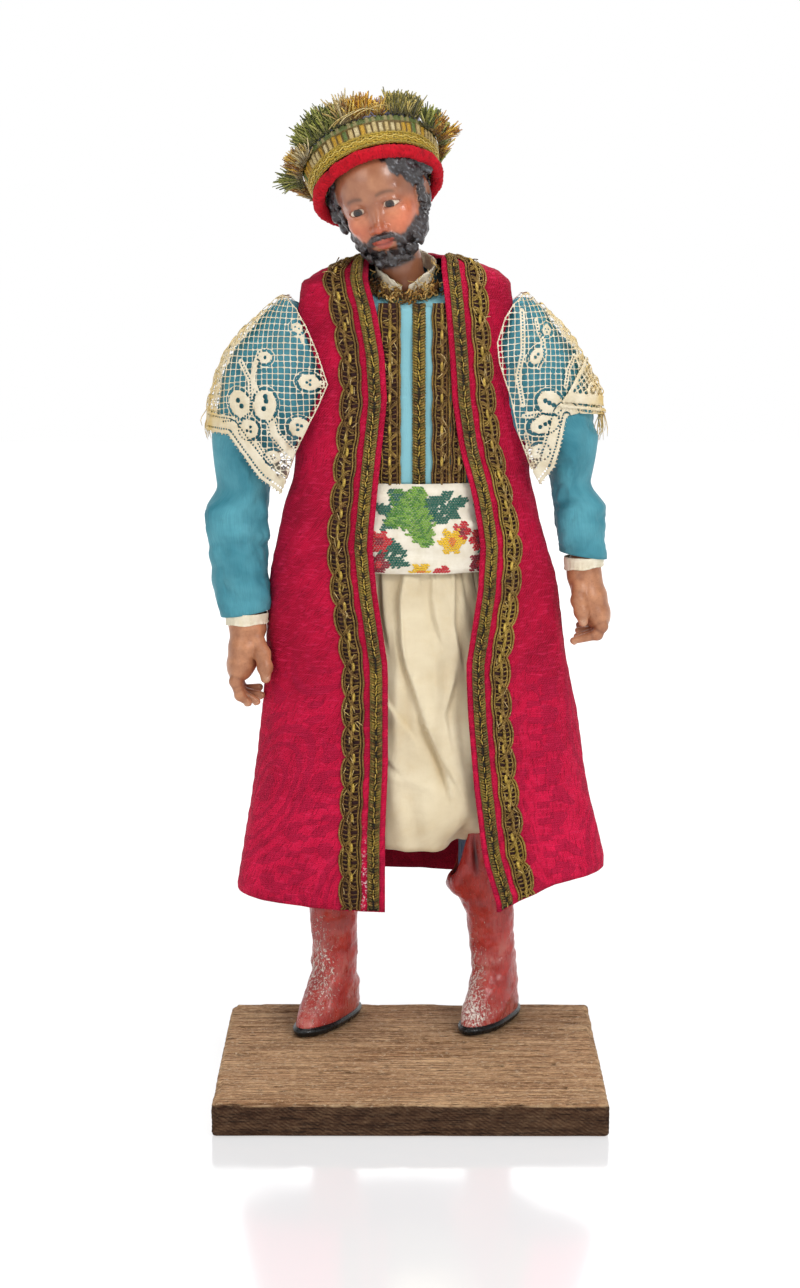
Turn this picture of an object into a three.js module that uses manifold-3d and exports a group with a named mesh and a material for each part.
// A presepe figure: a standing man with painted head, hands and booted legs, dressed in sewn cloth,
// on a plain wooden board. Millimetres, +Z up, and the figure faces -Y. Right and left are the
// figure's own, so its right side lies towards -X.
import * as THREE from 'three';
import { mergeVertices } from 'three/addons/utils/BufferGeometryUtils.js';
import Module from 'manifold-3d';

const wasm = await Module();
wasm.setup();

// Driving dimensions
const boardWidth = 154;
const boardDepth = 125;
const boardThickness = 13.4;
const boardCornerRadius = 2.5;
const figureSetback = 43;
const figureHeight = 386;
const gap = 0.3;
const coatThickness = 1.6;
const armholeClearance = 1.2;
const sashThickness = 2.2;
const trousersEase = 3.2;
const legHoleClearance = 0.5;
const collarThickness = 1.3;
const cuffThickness = 1.3;
const cuffLength = 4.6;
const braidThickness = 1.2;
const coatEdgeWidth = 2.3;
const straightBraidWidth = 5;
const redStripWidth = 2.4;
const rightScallopedBraidWidth = 9.6;
const leftScallopedBraidWidth = 8.6;
const scallopPitch = 12.5;
const scallopDepth = 1.7;
const laceThickness = 0.9;
const frillRadius = 2.2;
const hatRollRadius = 2.7;
const hatBandThickness = 1.5;
const hatBandHeight = 11.5;
const hatBandFlare = 2.2;
const chestBraidInset = 0.6;
const wristEase = 0.6;

// The figure's free forms keep their proportions: their stations are counted in this share of its height
const unit = figureHeight / 386;

// A soft step from 0 to 1 between two values, which falls where the first value is the higher
const smooth = (from, to, value) => {
  const share = THREE.MathUtils.clamp((value - from) / (to - from), 0, 1);
  return share * share * (3 - 2 * share);
};

// A closed geometry from points and triangles, with its faces turned outwards
function closedGeometry(points, triangles) {
  let volume = 0;
  for (const [a, b, c] of triangles) {
    volume += points[a].dot(new THREE.Vector3().crossVectors(points[b], points[c]));
  }
  const ordered = volume < 0 ? triangles.map(([a, b, c]) => [a, c, b]) : triangles;
  const geometry = new THREE.BufferGeometry().setFromPoints(points);
  geometry.setIndex(ordered.flat());
  return geometry;
}

// A skin through rings of points, capped at both ends, or bent round to meet itself
function loft(rings, meetsItself = false) {
  const count = rings[0].length;
  const points = rings.flat();
  const triangles = [];
  const last = meetsItself ? rings.length : rings.length - 1;
  for (let row = 0; row < last; row += 1) {
    const next = (row + 1) % rings.length;
    for (let i = 0; i < count; i += 1) {
      const j = (i + 1) % count;
      triangles.push([row * count + i, row * count + j, next * count + j]);
      triangles.push([row * count + i, next * count + j, next * count + i]);
    }
  }
  if (!meetsItself) {
    const middleOf = (ring) => ring.reduce((sum, p) => sum.add(p), new THREE.Vector3()).divideScalar(count);
    const first = points.push(middleOf(rings[0])) - 1;
    const end = points.push(middleOf(rings[rings.length - 1])) - 1;
    const base = (rings.length - 1) * count;
    for (let i = 0; i < count; i += 1) {
      const j = (i + 1) % count;
      triangles.push([first, j, i], [end, base + i, base + j]);
    }
  }
  return closedGeometry(points, triangles);
}

// One level oval: power 2 is an ellipse, and a higher power is squarer
function oval({ x = 0, y = 0, z, across, deep, count, ...options }) {
  const { power = 2, turn = 0, shape = () => 1, lift = () => 0 } = options;
  const ring = [];
  for (let i = 0; i < count; i += 1) {
    const angle = (2 * Math.PI * i) / count;
    const bend = (value) => Math.sign(value) * Math.abs(value) ** (2 / power);
    const u = across * bend(Math.cos(angle)) * shape(angle);
    const v = deep * bend(Math.sin(angle)) * shape(angle);
    const px = x + u * Math.cos(turn) - v * Math.sin(turn);
    const py = y + u * Math.sin(turn) + v * Math.cos(turn);
    ring.push(new THREE.Vector3(px, py, z + lift(px, py, angle)));
  }
  return ring;
}

// A limb through stations [x, y, z, across, deep], its rings square to its own run
function limb(stations, count) {
  const back = new THREE.Vector3(0, 1, 0);
  const centres = stations.map(([x, y, z]) => new THREE.Vector3(x, y, z).multiplyScalar(unit));
  const rings = stations.map(([, , , across, deep = across], k) => {
    const ahead = centres[Math.min(k + 1, centres.length - 1)];
    const behind = centres[Math.max(k - 1, 0)];
    const run = new THREE.Vector3().subVectors(ahead, behind).normalize();
    const side = new THREE.Vector3().crossVectors(run, back).normalize();
    const front = new THREE.Vector3().crossVectors(side, run);
    const ring = [];
    for (let i = 0; i < count; i += 1) {
      const angle = (2 * Math.PI * i) / count;
      ring.push(centres[k].clone()
        .addScaledVector(side, across * unit * Math.cos(angle))
        .addScaledVector(front, deep * unit * Math.sin(angle)));
    }
    return ring;
  });
  return loft(rings);
}

// The same closed form grown by a distance, or shrunk by a negative one
function grown(geometry, distance) {
  const copy = geometry.clone();
  copy.computeVertexNormals();
  const position = copy.getAttribute('position');
  const normal = copy.getAttribute('normal');
  const point = new THREE.Vector3();
  const out = new THREE.Vector3();
  for (let i = 0; i < position.count; i += 1) {
    point.fromBufferAttribute(position, i);
    out.fromBufferAttribute(normal, i);
    point.addScaledVector(out, distance);
    position.setXYZ(i, point.x, point.y, point.z);
  }
  copy.deleteAttribute('normal');
  return copy;
}

// Joining and cutting
function solidOf(geometry) {
  const bare = geometry.clone();
  bare.deleteAttribute('normal');
  bare.deleteAttribute('uv');
  const merged = mergeVertices(bare, 1e-4);
  return new wasm.Manifold(new wasm.Mesh({
    numProp: 3,
    vertProperties: new Float32Array(merged.getAttribute('position').array),
    triVerts: new Uint32Array(merged.getIndex().array),
  }));
}

function geometryOf(solid) {
  const mesh = solid.getMesh();
  const geometry = new THREE.BufferGeometry();
  geometry.setAttribute('position', new THREE.BufferAttribute(mesh.vertProperties, 3));
  geometry.setIndex(new THREE.BufferAttribute(mesh.triVerts, 1));
  return geometry;
}

function joined(...forms) {
  return geometryOf(forms.map(solidOf).reduce((sum, form) => sum.add(form)));
}

function cut(form, ...tools) {
  return geometryOf(tools.map(solidOf).reduce((left, tool) => left.subtract(tool), solidOf(form)));
}

const common = (form, other) => geometryOf(solidOf(form).intersect(solidOf(other)));

// A straight prism whose outline is drawn in front view, from the plane y = front to y = back
function frontPrism(outline, front, back) {
  const shape = new THREE.Shape(outline.map(([x, z]) => new THREE.Vector2(x, z)));
  const geometry = new THREE.ExtrudeGeometry(shape, { depth: back - front, bevelEnabled: false });
  return geometry.rotateX(Math.PI / 2).translate(0, back, 0);
}

// A value between the stations of a table whose first column is the height
function between(table, height, column) {
  const above = table.findIndex(([z]) => z >= height);
  if (above === 0) return table[0][column];
  if (above === -1) return table[table.length - 1][column];
  const [low, high] = [table[above - 1], table[above]];
  return low[column] + ((high[column] - low[column]) * (height - low[0])) / (high[0] - low[0]);
}

const materials = {
  wood: { color: 0x75583f, roughness: 0.85, metalness: 0 },
  paintedSkin: { color: 0xb57f5d, roughness: 0.35, metalness: 0 },
  paintedBoot: { color: 0xa33a36, roughness: 0.45, metalness: 0 },
  crimsonTwill: { color: 0xb0123a, roughness: 0.8, metalness: 0 },
  crimsonWool: { color: 0xbd1f2c, roughness: 0.9, metalness: 0 },
  tealSatin: { color: 0x4c97a5, roughness: 0.5, metalness: 0 },
  creamSilk: { color: 0xe8ddc2, roughness: 0.6, metalness: 0 },
  ivoryTabby: { color: 0xefe7d6, roughness: 0.85, metalness: 0 },
  giltBraid: { color: 0x7d6435, roughness: 0.5, metalness: 0.4 },
  giltGalloon: { color: 0xb09a45, roughness: 0.5, metalness: 0.4 },
  greenFringe: { color: 0x6b773a, roughness: 0.9, metalness: 0 },
  lavenderCloth: { color: 0x8d90a8, roughness: 0.9, metalness: 0 },
  ecruLace: { color: 0xe7dbbf, roughness: 0.85, metalness: 0 },
};

function piece(name, geometry, finish) {
  const mesh = new THREE.Mesh(geometry, new THREE.MeshStandardMaterial(materials[finish]));
  mesh.name = name;
  return mesh;
}

// The board
function boardGeometry() {
  const halfX = boardWidth / 2;
  const halfY = boardDepth / 2;
  const r = boardCornerRadius;
  const shape = new THREE.Shape();
  shape.moveTo(-halfX + r, -halfY);
  shape.lineTo(halfX - r, -halfY);
  shape.absarc(halfX - r, -halfY + r, r, -Math.PI / 2, 0);
  shape.lineTo(halfX, halfY - r);
  shape.absarc(halfX - r, halfY - r, r, 0, Math.PI / 2);
  shape.lineTo(-halfX + r, halfY);
  shape.absarc(-halfX + r, halfY - r, r, Math.PI / 2, Math.PI);
  shape.lineTo(-halfX, -halfY + r);
  shape.absarc(-halfX + r, -halfY + r, r, Math.PI, 1.5 * Math.PI);
  return new THREE.ExtrudeGeometry(shape, { depth: boardThickness, bevelEnabled: false, curveSegments: 3 });
}

// The coat's outer form: height, middle, half width and half depth of its level ovals
const coatTable = [
  [40, 3.9, 79.2, 32.6],
  [75, 4.5, 74.5, 31.6],
  [142, 3.4, 64.5, 30],
  [190, 1, 58.8, 28.4],
  [222, -0.2, 51.8, 27.4],
  [236, 0, 48.6, 26.8],
  [270, -0.8, 45.6, 25.6],
  [293, -1.7, 44.2, 24.2],
  [304, -2.1, 43.4, 22.4],
  [310.5, -1.9, 42.4, 20],
  [315, -0.8, 35.8, 17],
  [318.4, 0.2, 26.5, 15],
  [321.4, -1.9, 15.7, 13.4],
];
const coatPower = 2.3;
const coatCount = 24;
const coatAt = (height) => ({
  x: between(coatTable, height, 1),
  across: between(coatTable, height, 2),
  deep: between(coatTable, height, 3),
});

function coatForm() {
  const rings = coatTable.map(([height, x, across, deep]) => oval({
    x: x * unit,
    z: height * unit,
    across: across * unit,
    deep: deep * unit,
    power: coatPower,
    count: coatCount,
  }));
  return loft(rings);
}

// What lies below the hem, which rises towards the figure's left side and sags at the front
const hemLine = [[-90, 58.4], [-58, 56.4], [-30, 55.4], [36, 54.8], [44, 59], [59, 64.7], [90, 67.6]];
function hemCutter() {
  const backRise = 3;
  const below = 20;
  const edgeAt = (y, rise) => [
    ...hemLine.map(([x, z]) => new THREE.Vector3(x, y, z + rise).multiplyScalar(unit)),
    new THREE.Vector3(90, y, below).multiplyScalar(unit),
    new THREE.Vector3(-90, y, below).multiplyScalar(unit),
  ];
  return loft([edgeAt(-50, -1), edgeAt(50, backRise)]);
}

// The front opening's two edges: height and x, from the neck down to the hem
const openingRight = [
  [330, -16.5], [311, -17], [302, -14.1], [283, -10.5], [264, -9.4], [235, -12.6],
  [206, -15.4], [187, -13.5], [157, -9.1], [117, -9.1], [87, -10.3], [30, -10.4],
].map(([z, x]) => [z * unit, x * unit]);
const openingLeft = [
  [330, 12], [319, 12], [302, 13.9], [283, 15.6], [264, 16.8], [245, 19.7], [226, 25],
  [206, 28.3], [187, 27.2], [157, 22.5], [137, 23.4], [107, 26], [77, 29.8], [30, 43.5],
].map(([z, x]) => [z * unit, x * unit]);
const frontLimit = -60 * unit;
const edgeX = (edge, z) => between([...edge].reverse(), z, 1);

// The jacket's body follows the inside of the coat's front, and is narrower at the waist
const jacketBottom = 213;
const waistHalfWidth = 34.5;
const chestHalfWidth = 37;
const sashBottom = 194;
const sashTop = 231;
const innerCoat = coatThickness + gap;
const waistDepth = (height) => coatAt(height).deep * unit - innerCoat - sashThickness - 2 * gap;

function jacketForm() {
  const heights = [232.5, 236, 270, 293, 304, 310.5, 315, 318.4, 321.4];
  const upper = heights.map((height, row) => {
    const { x, across, deep } = coatAt(height);
    return oval({
      x: x * unit,
      z: height * unit - innerCoat * smooth(302, 315, height),
      across: Math.min(across * unit - innerCoat, chestHalfWidth * unit),
      deep: deep * unit - innerCoat - gap - (row === 0 ? 1.4 : 0),
      power: coatPower,
      count: coatCount,
    });
  });
  const lower = [jacketBottom * unit + gap, sashTop * unit].map((z) => oval({
    x: coatAt(z / unit).x * unit,
    z,
    across: waistHalfWidth * unit,
    deep: waistDepth(z / unit) - gap,
    power: coatPower,
    count: coatCount,
  }));
  return loft([...lower, ...upper]);
}

// Sleeves: stuffed arms that hang from inside the coat's armholes
const rightSleeveStations = [
  [-34, 2, 297, 12.5], [-43, 1.5, 292.5, 13], [-54, 0.5, 280.5, 13.6], [-63.5, 0, 264, 13.4],
  [-69.5, -0.5, 248, 12.8], [-71.6, -1.7, 226, 12.3], [-71.4, -3, 214, 10.9],
  [-69.9, -5.4, 195, 10.2], [-67.2, -8, 176.5, 9.6],
];
const leftSleeveStations = [
  [31, 2, 297, 12.5], [40, 1.5, 292.5, 13], [50, 0.5, 281, 13.4], [59, 0, 266, 13],
  [66.5, -0.5, 250, 11.8], [68.8, -1.6, 233, 11], [69.4, -2.5, 217, 9.9], [71.2, -3.5, 199, 8.9],
];
const sleeveForm = (stations) => limb(stations, 10);

// A cuff: a short ring round the wrist, hung from the sleeve's end
function cuffForm(sleeveStations) {
  const [x, y, z, radius] = sleeveStations[sleeveStations.length - 1];
  const top = z * unit - gap;
  const outer = radius * unit - wristEase;
  const inner = outer - cuffThickness;
  const at = (r, height) => oval({ x: x * unit, y: y * unit, z: height, across: r, deep: r, count: 10 });
  const low = top - cuffLength;
  return loft([at(outer, top), at(outer, low), at(inner, low), at(inner, top)], true);
}

function cuffGeometry(stations, sleeve, hand) {
  return cut(cuffForm(stations), grown(sleeve, gap), grown(hand, gap));
}

// Hands: a palm, four fingers and a thumb, seen from the thumb's side
function wristSeat([x, y, z, radius]) {
  const seatRadius = radius - (cuffThickness + wristEase + 2 * gap) / unit;
  const low = z - (cuffLength - gap) / unit;
  return [[x, y, z - (2 * gap) / unit, seatRadius], [x, y, low, seatRadius]];
}

function handForm(palm, fingers, thumb) {
  const digits = [...fingers, thumb].map((stations) => limb(stations, 5));
  return joined(limb(palm, 8), ...digits);
}

function rightHandForm() {
  const seat = wristSeat(rightSleeveStations[rightSleeveStations.length - 1]);
  const palm = [...seat, [-66.6, -8.8, 169, 7.5, 7], [-67.8, -9.5, 162, 7.2, 8.6],
    [-69.3, -9.4, 155, 6, 9.2], [-70.3, -9, 150.5, 4.4, 8.6]];
  const bends = [
    [-15.6, -66.5, 139.5], [-11.2, -63.2, 139.2], [-6.8, -61.6, 141], [-2.8, -62.6, 143.6],
  ];
  const fingers = bends.map(([y, tipX, tipZ]) => [
    [-69.6, y + 0.6, 155, 2.9], [-71.6, y, 148.5, 2.7], [-69.8, y, 142.6, 2.4],
    [tipX, y, tipZ, 1.7],
  ]);
  const thumb = [
    [-63.8, -12, 167, 4], [-60.6, -15.6, 160, 4], [-59.4, -17, 154.6, 3.9], [-59.2, -17.2, 150, 2.2],
  ];
  return handForm(palm, fingers, thumb);
}

function leftHandForm() {
  const seat = wristSeat(leftSleeveStations[leftSleeveStations.length - 1]);
  const palm = [...seat, [71.6, -4, 189.5, 7, 6.8], [73.6, -4.6, 183, 7.4, 8.4],
    [76, -4.6, 176, 6.1, 9], [77.4, -4.2, 171.5, 4.4, 8.4]];
  const bends = [[-10.6, 66.9, 164.6], [-6.2, 68.6, 165.6], [-2, 69.4, 167.4], [2, 70, 169]];
  const fingers = bends.map(([y, tipX, tipZ]) => [
    [76.8, y + 0.6, 176, 2.9], [78.4, y, 170.6, 2.7], [76.6, y, 167.2, 2.5],
    [tipX, y, tipZ, 1.6],
  ]);
  const thumb = [
    [69.6, -8.4, 187.5, 4], [69, -11.6, 181.5, 4], [70, -13, 177, 3.9], [70.6, -13.2, 172.8, 2.2],
  ];
  return handForm(palm, fingers, thumb);
}

// Carved legs: soled boot, shaft with a slanting top edge, and the stocking above it
const legTop = 92;
const bootTable = [
  // height, share of the way from shaft to foot middle, loss of half length, half width
  [0, 1, 0, 9.1], [2.6, 1, -0.3, 9.4], [3.4, 0.98, 0.7, 9], [8, 0.8, 2.4, 9.1], [13, 0.5, 5.8, 9.1],
];
const shaftTable = [
  // height, half length, half width
  [20, 11.6, 9.2], [32, 9.8, 9.3], [48, 10.8, 10.4],
];
function legForm({ heel, toe, shaft, lean, rimLow, rimHigh, lowSide }) {
  const direction = Math.atan2(toe[1] - heel[1], toe[0] - heel[0]);
  const halfFoot = Math.hypot(toe[0] - heel[0], toe[1] - heel[1]) / 2;
  const middle = [(heel[0] + toe[0]) / 2, (heel[1] + toe[1]) / 2];
  const ring = (height, forward, halfLong, halfWide, lift) => oval({
    x: (shaft[0] + (middle[0] - shaft[0]) * forward + lean * Math.max(0, height - 20)) * unit,
    y: (shaft[1] + (middle[1] - shaft[1]) * forward) * unit,
    z: height * unit,
    across: halfLong * unit,
    deep: halfWide * unit,
    turn: direction,
    count: 14,
    lift,
  });
  const rim = (below) => (x, y, angle) => {
    const lowShare = (1 + Math.cos(angle + direction - lowSide)) / 2;
    return ((rimLow - rimHigh) * lowShare - below) * unit;
  };
  return loft([
    ...bootTable.map(([height, forward, loss, wide]) => ring(height, forward, halfFoot - loss, wide)),
    ...shaftTable.map(([height, long, wide]) => ring(height, height < 30 ? 0.2 : 0, long, wide)),
    ring(rimHigh, 0, 12.8, 12.4, rim(5)),
    ring(rimHigh, 0, 12, 11.6, rim(0)),
    ring(rimHigh, 0, 9.4, 9, rim(-0.3)),
    ring(legTop, 0, 9.2, 8.8),
  ]);
}
const rightLeg = {
  heel: [-23.2, 13.6], toe: [-46, -26.5], shaft: [-31.6, 0], lean: -0.02, rimLow: 64, rimHigh: 76, lowSide: 0,
};
const leftLeg = {
  heel: [44.8, 13], toe: [23, -24.5], shaft: [36, 0.5], lean: -0.1, rimLow: 61, rimHigh: 78, lowSide: Math.PI,
};

// Trousers: one full bag of pleated cloth whose hem rises over the left leg
const trousersTable = [
  // height, half width, and how far the cloth is drawn in again under the hem
  [77.4, 36.5, 3.4], [82, 39.5, 1.4], [94, 41, 0], [128, 40.4, 0], [160, 39, 0], [182, 37, 0],
  [sashBottom, waistHalfWidth, 0], [jacketBottom, waistHalfWidth, 0],
];
function trousersForm() {
  const pleats = (angle) => 1 + 0.022 * Math.sin(13 * angle + 0.6) + 0.013 * Math.sin(5 * angle);
  const rings = trousersTable.map(([height, across, drawnIn]) => {
    const tucked = smooth(160, sashBottom, height);
    const hanging = coatAt(height).deep * unit - coatThickness - trousersEase - drawnIn * unit;
    const overLeg = 6 * unit * smooth(130, 80, height);
    return oval({
      x: (coatAt(height).x + 1.4 * (1 - tucked)) * unit,
      z: height * unit,
      across: across * unit,
      deep: THREE.MathUtils.lerp(hanging, waistDepth(height), tucked),
      power: coatPower,
      count: coatCount,
      shape: tucked === 1 ? undefined : pleats,
      lift: (x) => overLeg * smooth(14 * unit, 23 * unit, x),
    });
  });
  return loft(rings);
}

// The sash: a folded band wrapped round the waist
function sashForm() {
  const rings = [];
  const outline = [[sashBottom, 1], [sashTop, 1], [sashTop, 0], [sashBottom, 0]];
  for (const [height, outside] of outline) {
    rings.push(oval({
      x: coatAt(height).x * unit,
      z: height * unit,
      across: waistHalfWidth * unit + gap + (outside ? sashThickness : 0),
      deep: waistDepth(height) + gap + (outside ? sashThickness : 0),
      power: coatPower,
      count: coatCount,
    }));
  }
  return loft(rings, true);
}

// Head and neck
const headCentre = new THREE.Vector3(-11, -8.5, 341);
const headPitch = THREE.MathUtils.degToRad(10);
const headRoll = THREE.MathUtils.degToRad(-16.4);
const headTurn = THREE.MathUtils.degToRad(-15);
const neckStations = [[-1.4, 2.4, 297, 9.6], [-2.4, 0, 308, 9], [-4.6, -2.4, 318, 8.9], [-8, -4.6, 330, 9.4]];

// Rounded swellings and hollows of the head: a direction, a spread and a height in shares
const headSwellings = [
  { at: [0, -1, -0.2], spread: [0.1, 0.2], height: 4.6 },
  { at: [0, -1, 0.27], spread: [0.34, 0.1], height: 1.1 },
  { at: [-0.34, -0.94, 0.08], spread: [0.14, 0.1], height: -2 },
  { at: [0.34, -0.94, 0.08], spread: [0.14, 0.1], height: -2 },
  { at: [-0.42, -0.86, -0.22], spread: [0.16, 0.15], height: 0.9 },
  { at: [0.42, -0.86, -0.22], spread: [0.16, 0.15], height: 0.9 },
  { at: [0, -0.86, -0.5], spread: [0.26, 0.08], height: 1.2 },
  { at: [0, -0.66, -0.84], spread: [0.34, 0.2], height: 4.2 },
  { at: [-0.96, 0.02, -0.02], spread: [0.1, 0.2], height: 2 },
  { at: [0.96, 0.02, -0.02], spread: [0.1, 0.2], height: 2 },
];

function headRadius(direction) {
  const { x, y, z } = direction;
  const jaw = 1 - 0.22 * smooth(0.1, 1, -z);
  const base = 1 / Math.hypot(x / (18 * jaw), y / (y > 0 ? 21.5 * jaw : 20.4), z / (z > 0 ? 27.5 : 25));
  let radius = base;
  for (const { at, spread, height } of headSwellings) {
    const side = new THREE.Vector3(...at).normalize();
    const across = (x - side.x) / spread[0];
    const along = (z - side.z) / spread[1];
    const facing = smooth(-0.1, 0.4, y * side.y + Math.abs(side.x) * Math.abs(x));
    radius += height * Math.exp(-(across * across + along * along) / 2) * facing;
  }
  const hair = smooth(-0.42, -0.2, y) * smooth(-0.72, -0.4, z);
  const beard = smooth(-0.34, -0.52, z) * smooth(0.2, -0.1, y);
  const curls = Math.sin(15 * x + 3 * z) * Math.sin(13 * z + 2 * y) * Math.sin(12 * y + 1);
  return radius + hair * (2.2 + 1.2 * curls) + beard * (1 + 0.9 * curls);
}

function headForm() {
  const bare = new THREE.IcosahedronGeometry(1, 5);
  bare.deleteAttribute('normal');
  bare.deleteAttribute('uv');
  const skull = mergeVertices(bare, 1e-4);
  const position = skull.getAttribute('position');
  const direction = new THREE.Vector3();
  for (let i = 0; i < position.count; i += 1) {
    direction.fromBufferAttribute(position, i).normalize();
    direction.multiplyScalar(headRadius(direction.clone()) * unit);
    position.setXYZ(i, direction.x, direction.y, direction.z);
  }
  skull.rotateX(headPitch).rotateZ(headTurn).rotateY(headRoll);
  skull.translate(headCentre.x * unit, headCentre.y * unit, headCentre.z * unit);
  return joined(skull, limb(neckStations, 14));
}

// A smooth hollow that clears the skull and its hair
function skullHollow() {
  const room = 4.8;
  const hollow = new THREE.IcosahedronGeometry(1, 2);
  hollow.scale((18 + room) * unit, (21 + room) * unit, (27.5 + room) * unit);
  hollow.rotateX(headPitch).rotateZ(headTurn).rotateY(headRoll);
  return hollow.translate(headCentre.x * unit, headCentre.y * unit, headCentre.z * unit);
}

// The neckline: everything above a plane that slopes up from the chest to the nape
const neckline = { x: -2.3, y: -2.5, front: [-22, 300.5], slope: 0.53 };
const necklineAt = (y) => neckline.front[1] * unit + (y - neckline.front[0] * unit) * neckline.slope;

function necklineCutter(halfWidth) {
  const corner = (x, y, z) => new THREE.Vector3(x, y, z);
  const centre = neckline.x * unit;
  const sideOf = (x) => [
    corner(x, -40 * unit, necklineAt(-40 * unit)), corner(x, 24 * unit, necklineAt(24 * unit)),
    corner(x, 24 * unit, 360 * unit), corner(x, -40 * unit, 360 * unit),
  ];
  return loft([sideOf(centre - halfWidth), sideOf(centre + halfWidth)]);
}

// The shirt's standing collar, open in a V below the chin
const collarRadius = 12.4;
const collarTop = (angle) => 308.5 + 15 * Math.sin(angle / 2) ** 1.1;
function collarForm(filled = false) {
  const at = (radius, level) => oval({
    x: neckline.x * unit,
    y: neckline.y * unit,
    z: 0,
    across: radius,
    deep: radius,
    count: 14,
    lift: (x, y, angle) => {
      const fromFront = Math.abs(Math.atan2(Math.cos(angle), -Math.sin(angle)));
      return level === 'top' ? collarTop(fromFront) * unit : necklineAt(y) + gap;
    },
  });
  const outer = collarRadius * unit;
  if (filled) return loft([at(outer, 'bottom'), at(outer, 'top')]);
  const inner = outer - collarThickness;
  return loft([at(outer, 'bottom'), at(outer, 'top'), at(inner, 'top'), at(inner, 'bottom')], true);
}

// The gilt frill along the front of the neckline
function frillForm() {
  const reach = THREE.MathUtils.degToRad(66);
  const steps = 10;
  const rings = [];
  for (let step = 0; step <= steps; step += 1) {
    const angle = -Math.PI / 2 - reach + (2 * reach * step) / steps;
    const radius = collarRadius * unit + gap + frillRadius * 1.15;
    const out = new THREE.Vector3(Math.cos(angle), Math.sin(angle), 0);
    const centre = new THREE.Vector3(neckline.x * unit, neckline.y * unit, 0).addScaledVector(out, radius);
    centre.z = necklineAt(centre.y) + frillRadius * 1.25 + 2 * gap;
    const thick = frillRadius * (1 + 0.12 * (-1) ** step);
    const ring = [];
    for (let i = 0; i < 6; i += 1) {
      const around = (2 * Math.PI * i) / 6;
      const point = centre.clone().addScaledVector(out, thick * Math.cos(around));
      point.z += thick * Math.sin(around);
      ring.push(point);
    }
    rings.push(ring);
  }
  return loft(rings);
}

// The hat sits on the back of the head, leaning back and to the figure's right
const hatCentre = new THREE.Vector3(-13, -6, 347.5);
const hatBack = THREE.MathUtils.degToRad(-33);
const hatHalfWidth = 24.3;
const hatHalfDepth = 26.5;
const hatCount = 24;
const crownHeight = 31.5;

function placeHat(geometry) {
  geometry.rotateX(hatBack).rotateY(headRoll);
  return geometry.translate(hatCentre.x * unit, hatCentre.y * unit, hatCentre.z * unit);
}

// A hoop round the hat: its section is a list of [distance outside the brim's middle line, height]
function hatHoop(section, swell = () => 0) {
  const rings = [];
  for (let i = 0; i < hatCount; i += 1) {
    const angle = (2 * Math.PI * i) / hatCount;
    rings.push(section.map(([out, height]) => {
      const grownOut = out + swell(angle, out, height);
      return new THREE.Vector3(
        (hatHalfWidth * unit + grownOut) * Math.cos(angle),
        (hatHalfDepth * unit + grownOut) * Math.sin(angle),
        height,
      );
    }));
  }
  return placeHat(loft(rings, true));
}

function hatRollForm() {
  const section = [];
  for (let i = 0; i < 7; i += 1) {
    const around = (2 * Math.PI * i) / 7;
    section.push([hatRollRadius * Math.cos(around), hatRollRadius * Math.sin(around)]);
  }
  return hatHoop(section);
}

const bandFoot = hatRollRadius + gap;
const bandHead = bandFoot + hatBandHeight;
const crownOut = -gap;

function hatBandForm() {
  return hatHoop([
    [gap, bandFoot], [gap + hatBandThickness, bandFoot],
    [gap + hatBandThickness + hatBandFlare, bandHead], [gap + hatBandFlare, bandHead],
  ]);
}

function hatFringeForm() {
  const foot = bandHead + gap;
  const top = 26.6 * unit;
  const inside = hatBandFlare + gap;
  const tufts = (angle, out, height) => {
    const bumps = 1.2 * Math.sin(9 * angle) + 0.9 * Math.sin(20 * angle + 1);
    const sideways = 2.6 * Math.max(0, -Math.cos(angle)) * (1 - smooth(foot, top, height));
    const loose = height > foot ? smooth(inside, 6 * unit, out) : 0;
    return (bumps + sideways) * unit * loose;
  };
  return hatHoop([
    [inside, foot], [6.4 * unit, foot], [8.6 * unit, foot + 4 * unit], [5.8 * unit, top - 4 * unit],
    [3.8 * unit, top], [inside, top - 1.5 * unit],
  ], tufts);
}

function hatCrownForm() {
  const at = (out, height) => oval({
    z: height, across: hatHalfWidth * unit + out, deep: hatHalfDepth * unit + out, count: hatCount,
  });
  const dome = loft([
    at(crownOut, bandFoot), at(crownOut + hatBandFlare, bandHead), at(crownOut + hatBandFlare, 22 * unit),
    at(-4 * unit, 27.5 * unit), at(-12 * unit, crownHeight * unit - 1), at(-20 * unit, crownHeight * unit),
  ]);
  return cut(placeHat(dome), skullHollow());
}

// The coat: a shell open below, at the front, at the neck and at the armholes
function coatGeometry(sleeves) {
  const inside = grown(coatForm(), -coatThickness);
  const opening = frontPrism(
    [...openingRight, ...[...openingLeft].reverse()].map(([z, x]) => [x, z]),
    frontLimit,
    neckline.y * unit + 1,
  );
  const neckHole = grown(collarForm(true), gap);
  const aboveNeck = grown(collarForm(true), gap).translate(0, 0, 4 * unit);
  const armholes = sleeves.map((stations) => grown(limb(stations.slice(0, 5), 10), armholeClearance));
  return cut(coatForm(), inside, opening, hemCutter(), neckHole, aboveNeck, grown(head, gap), ...armholes);
}

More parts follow.
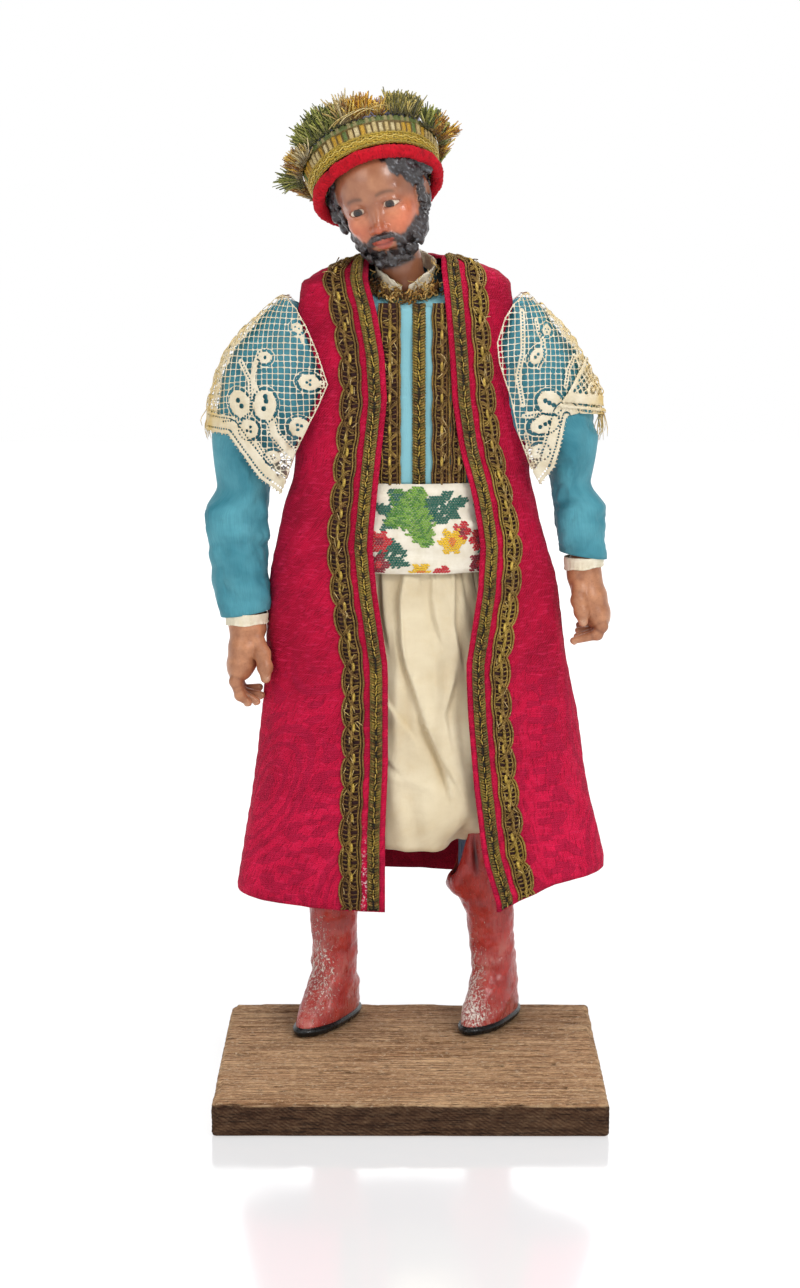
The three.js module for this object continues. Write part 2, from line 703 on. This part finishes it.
// A band laid on a form beside an edge, drawn in front view; its outer side may be scalloped
function bandOn(form, edge, side, inner, width, scalloped) {
  const near = edge.map(([z, x]) => [x + side * inner, z]);
  let far = edge.map(([z, x]) => [x + side * (inner + width), z]);
  if (scalloped) {
    const steps = 3;
    const [top, bottom] = [edge[0][0], edge[edge.length - 1][0]];
    const rows = Math.round(((top - bottom) / scallopPitch) * steps);
    far = Array.from({ length: rows + 1 }, (_, row) => {
      const z = top - (row * (top - bottom)) / rows;
      const bulge = Math.sqrt(Math.abs(Math.sin((Math.PI * row) / steps)));
      return [edgeX(edge, z) + side * (inner + width - scallopDepth * (1 - bulge)), z];
    });
  }
  const prism = frontPrism([...near, ...far.reverse()], frontLimit, 0);
  const skin = cut(grown(form, gap + braidThickness), grown(form, gap), hemCutter());
  return common(skin, prism);
}

const rightEdge = (z) => edgeX(openingRight, z);
const leftEdge = (z) => edgeX(openingLeft, z);
const outerInner = coatEdgeWidth + straightBraidWidth + redStripWidth;

// Lace: a cape over each upper arm, cut to its front outline
function laceForm({ outline, middle, stations }, side) {
  const rings = stations.map(([height, outer, deep]) => oval({
    x: side * middle * unit,
    z: height * unit,
    across: (outer - middle) * unit,
    deep: deep * unit,
    power: 1.9,
    count: 14,
  }));
  const outside = loft(rings);
  const shape = frontPrism(outline.map(([x, z]) => [side * x * unit, z * unit]), frontLimit, -frontLimit);
  return { outside, shape };
}

const rightLace = {
  middle: 31,
  stations: [[216, 80, 21], [250, 83.4, 23.4], [266, 82, 23.6], [276, 79, 23.2], [286, 73, 22.6],
    [296, 63.6, 21], [304, 54, 18], [311, 46, 13]],
  outline: [[46, 304], [49, 316], [100, 316], [100, 250], [74, 249.6], [67.2, 240.7], [60.4, 231.5],
    [52.7, 225.5], [46.5, 242.7], [36.6, 262.2], [33, 270.3], [37.3, 283], [42, 294]],
};
const leftLace = {
  middle: 30,
  stations: [[218, 74, 21], [254, 78.8, 23.2], [266, 76.8, 23.4], [276, 72.4, 23], [286, 67.6, 22.4],
    [296, 59.6, 20.8], [304, 50, 17.6], [311, 42, 13]],
  outline: [[41.5, 304], [44, 316], [96, 316], [96, 256], [68, 258], [62.9, 257], [60.6, 246.8],
    [57.9, 236.6], [53.1, 229], [48.6, 236.6], [43.2, 250.9], [40.2, 265], [35.4, 279], [34.6, 287],
    [37.6, 297]],
};

function laceGeometry(lace, side, sleeve) {
  const { outside, shape } = laceForm(lace, side);
  const shell = cut(outside, grown(outside, -laceThickness), grown(coatForm(), gap), grown(sleeve, gap));
  return common(shell, shape);
}

// The whole figure
const head = headForm();
const rightSleeve = sleeveForm(rightSleeveStations);
const leftSleeve = sleeveForm(leftSleeveStations);
const rightHand = cut(rightHandForm(), grown(rightSleeve, gap));
const leftHand = cut(leftHandForm(), grown(leftSleeve, gap));
const jacket = jacketForm();
const legs = [legForm(rightLeg), legForm(leftLeg)];

function jacketGeometry() {
  const throat = necklineCutter(collarRadius * unit + 2.4 * frillRadius);
  const body = cut(jacket, throat, grown(limb(neckStations, 14), gap));
  return joined(body, rightSleeve, leftSleeve);
}

const figure = new THREE.Group();
figure.position.set(0, figureSetback, boardThickness + gap);
figure.add(
  piece('right_leg', legs[0], 'paintedBoot'),
  piece('left_leg', legs[1], 'paintedBoot'),
  piece('trousers', cut(trousersForm(), ...legs.map((leg) => grown(leg, legHoleClearance))), 'creamSilk'),
  piece('sash', sashForm(), 'ivoryTabby'),
  piece('jacket', jacketGeometry(), 'tealSatin'),
  piece('right_hand', rightHand, 'paintedSkin'),
  piece('left_hand', leftHand, 'paintedSkin'),
  piece('right_cuff', cuffGeometry(rightSleeveStations, rightSleeve, rightHand), 'creamSilk'),
  piece('left_cuff', cuffGeometry(leftSleeveStations, leftSleeve, leftHand), 'creamSilk'),
  piece('head', head, 'paintedSkin'),
  piece('shirt_collar', cut(collarForm(), grown(head, gap)), 'creamSilk'),
  piece('collar_frill', cut(frillForm(), grown(head, gap)), 'giltBraid'),
  piece('hat_roll', cut(hatRollForm(), grown(head, gap)), 'crimsonWool'),
  piece('hat_band', hatBandForm(), 'giltGalloon'),
  piece('hat_fringe', hatFringeForm(), 'greenFringe'),
  piece('hat_crown', hatCrownForm(), 'lavenderCloth'),
  piece('coat', coatGeometry([rightSleeveStations, leftSleeveStations]), 'crimsonTwill'),
  piece('right_lace', laceGeometry(rightLace, -1, rightSleeve), 'ecruLace'),
  piece('left_lace', laceGeometry(leftLace, 1, leftSleeve), 'ecruLace'),
);

const braids = [
  ['right_straight_braid', openingRight, -1, coatEdgeWidth, straightBraidWidth, false],
  ['left_straight_braid', openingLeft, 1, coatEdgeWidth, straightBraidWidth, false],
  ['right_scalloped_braid', openingRight, -1, outerInner, rightScallopedBraidWidth, true],
  ['left_scalloped_braid', openingLeft, 1, outerInner, leftScallopedBraidWidth, true],
];
for (const [name, edge, side, inner, width, scalloped] of braids) {
  figure.add(piece(name, bandOn(coatForm(), edge, side, inner, width, scalloped), 'giltBraid'));
}

// Three gilt braids down the jacket's chest, between the coat's edges
const chestBraids = [
  ['right_chest_braid', (z) => rightEdge(z) + chestBraidInset, () => -3.8 * unit],
  ['centre_chest_braid', () => 0.7 * unit, () => 5.9 * unit],
  ['left_chest_braid', () => 8.4 * unit, (z) => leftEdge(z) - chestBraidInset],
];
for (const [name, from, to] of chestBraids) {
  const low = sashTop * unit + 3;
  const high = necklineAt(neckline.front[0] * unit) - 1;
  const chest = [];
  for (let row = 0; row <= 6; row += 1) {
    const z = low + ((high - low) * row) / 6;
    chest.unshift([from(z), z]);
    chest.push([to(z), z]);
  }
  const skin = cut(grown(jacket, gap + braidThickness), grown(jacket, gap));
  figure.add(piece(name, common(skin, frontPrism(chest, frontLimit, 0)), 'giltBraid'));
}

const onBoard = new THREE.Group();
onBoard.add(piece('base_board', boardGeometry(), 'wood'), figure);

export default onBoard;
